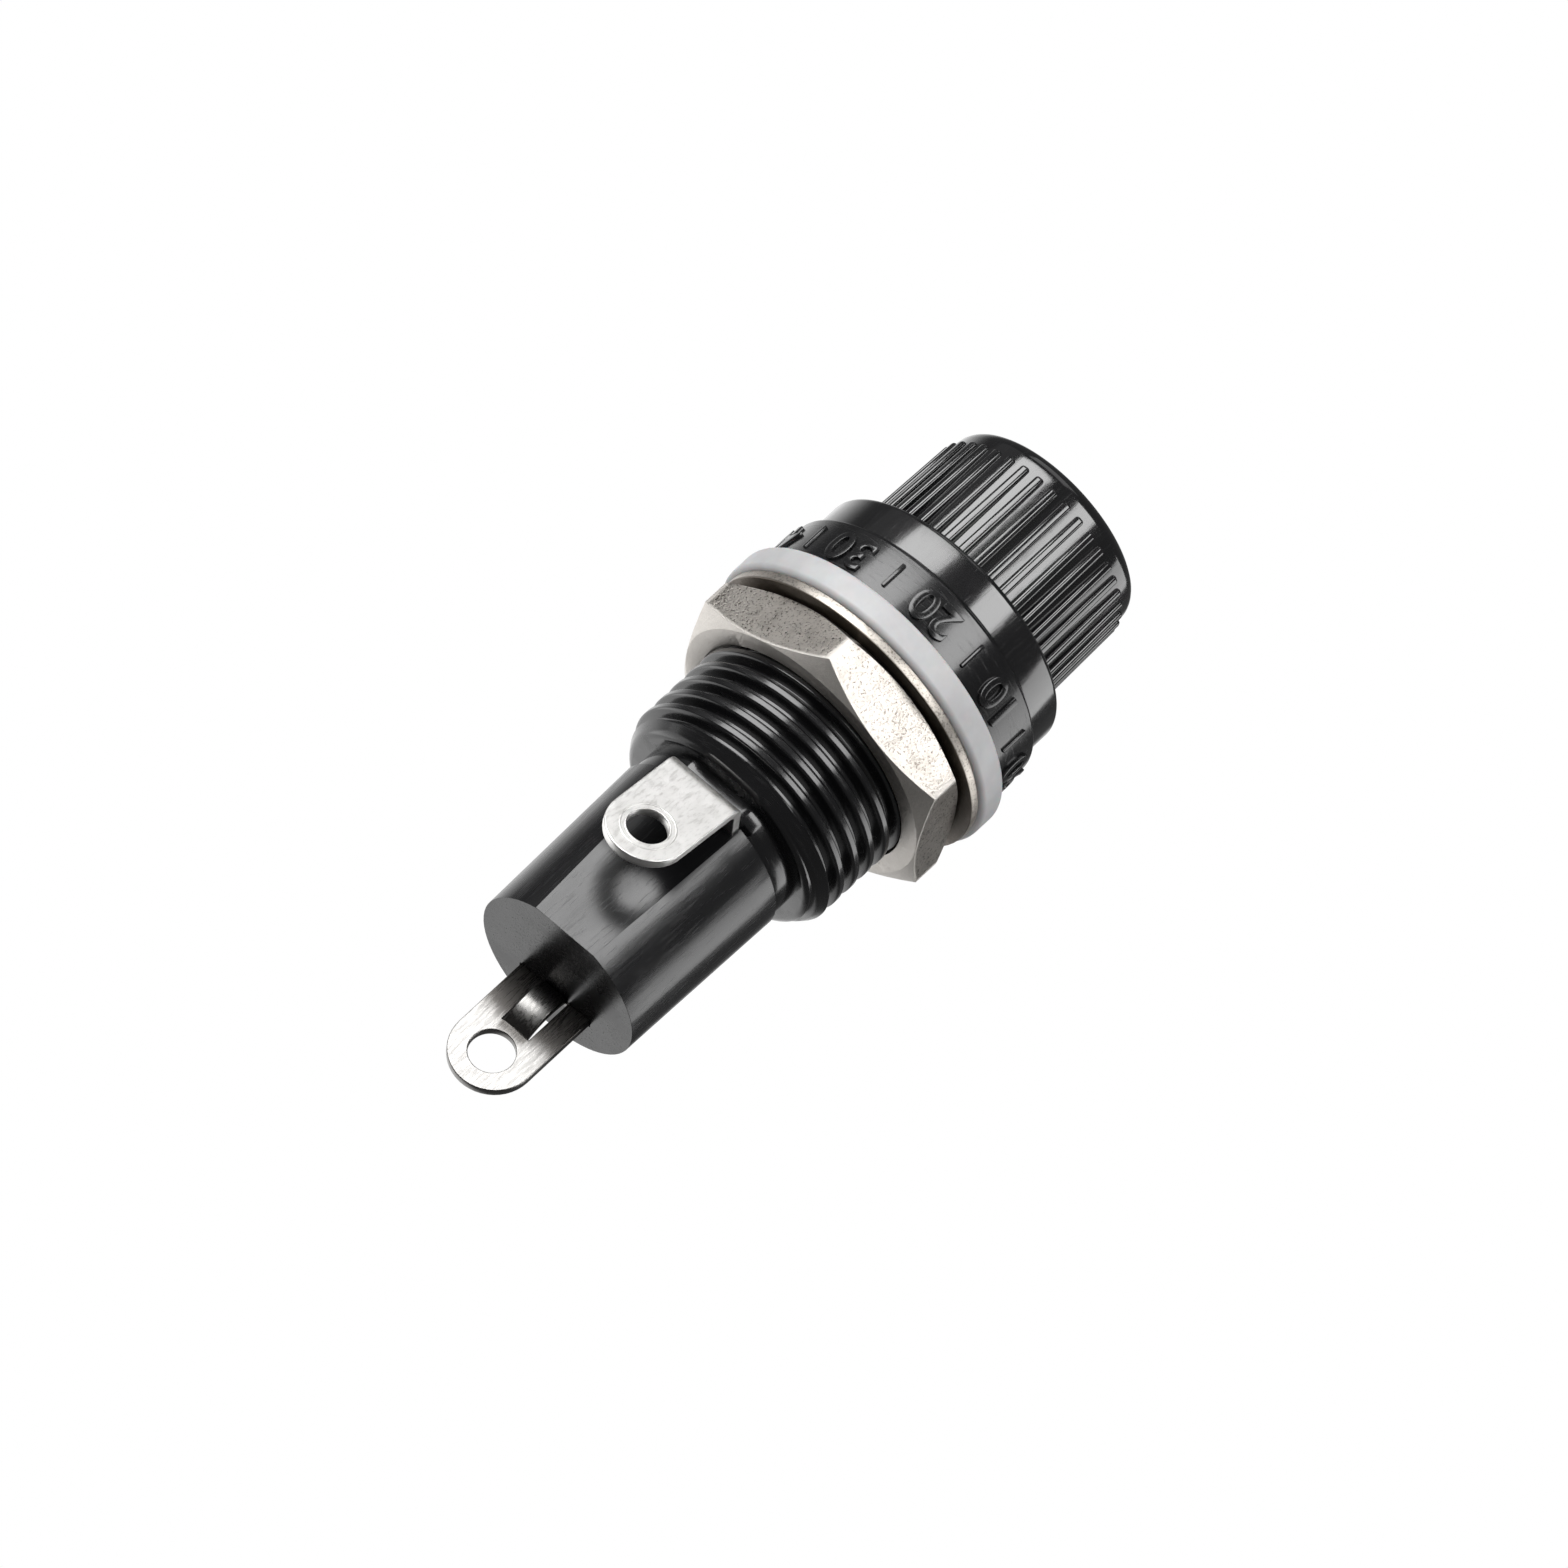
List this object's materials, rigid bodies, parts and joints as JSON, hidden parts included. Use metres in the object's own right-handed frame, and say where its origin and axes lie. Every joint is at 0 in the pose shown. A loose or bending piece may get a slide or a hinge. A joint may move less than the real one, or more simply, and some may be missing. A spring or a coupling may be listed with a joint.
{
  "type": "panel mount fuse holder",
  "caption": "Cylindrical black panel mount fuse holder with threaded barrel, hex nut, washer, grey gasket, ridged screw cap, side lug and end lug.",
  "frame": {"origin": "on the barrel's axis, in the plane where the panel's front face meets the gasket", "axes": "+Z along the barrel's axis, out through the cap; +X towards the flat of the tail and the side lug"},
  "size_m": [0.0162, 0.016, 0.039],
  "materials": {
    "black_plastic": "glossy moulded black plastic",
    "gasket_grey": "pale grey, slightly see-through soft ring",
    "nickel_steel": "nickel plated with a fine cast grain",
    "tinned_brass": "tin plated strip, satin",
    "sprung_brass": "bright brass contacts",
    "spring_steel": "drawn spring wire"
  },
  "bodies": {
    "holder": {"threaded_body": "black_plastic", "rear_shell": "black_plastic", "gasket": "gasket_grey", "contact_sleeve": "sprung_brass", "side_terminal": "tinned_brass", "end_terminal": "tinned_brass", "contact_spring": "spring_steel"},
    "washer": {"flat_washer": "nickel_steel"},
    "nut": {"hex_nut": "nickel_steel"},
    "clip": {"fuse_clip": "sprung_brass", "clip_rivet": "sprung_brass"},
    "cap": {"cap_knob": "black_plastic"},
    "plunger": {"tail_contact": "sprung_brass"}
  },
  "joints": [
    {"name": "washer_slide", "type": "slide", "parent": "holder", "child": "washer", "axis": [0, 0, 1], "range_m": [-0.004, 0]},
    {"name": "nut_turn", "type": "hinge", "parent": "washer", "child": "nut", "pos_m": [0, 0, 0], "axis": [0, 0, 1], "range_deg": [-1440, 0]},
    {"name": "cap_lift", "type": "slide", "parent": "holder", "child": "clip", "axis": [0, 0, 1], "range_m": [0, 0.034]},
    {"name": "cap_turn", "type": "hinge", "parent": "clip", "child": "cap", "pos_m": [0, 0, 0], "axis": [0, 0, 1], "range_deg": [0, 1080]},
    {"name": "plunger_press", "type": "slide", "parent": "holder", "child": "plunger", "axis": [0, 0, -1], "range_m": [0, 0.002], "stiffness_N_per_m": 800, "deforming": ["contact_spring"]}
  ],
  "couplings": [
    {"joint": "washer_slide", "follows": "nut_turn", "m_per_rad": 0.00015915}
  ]
}
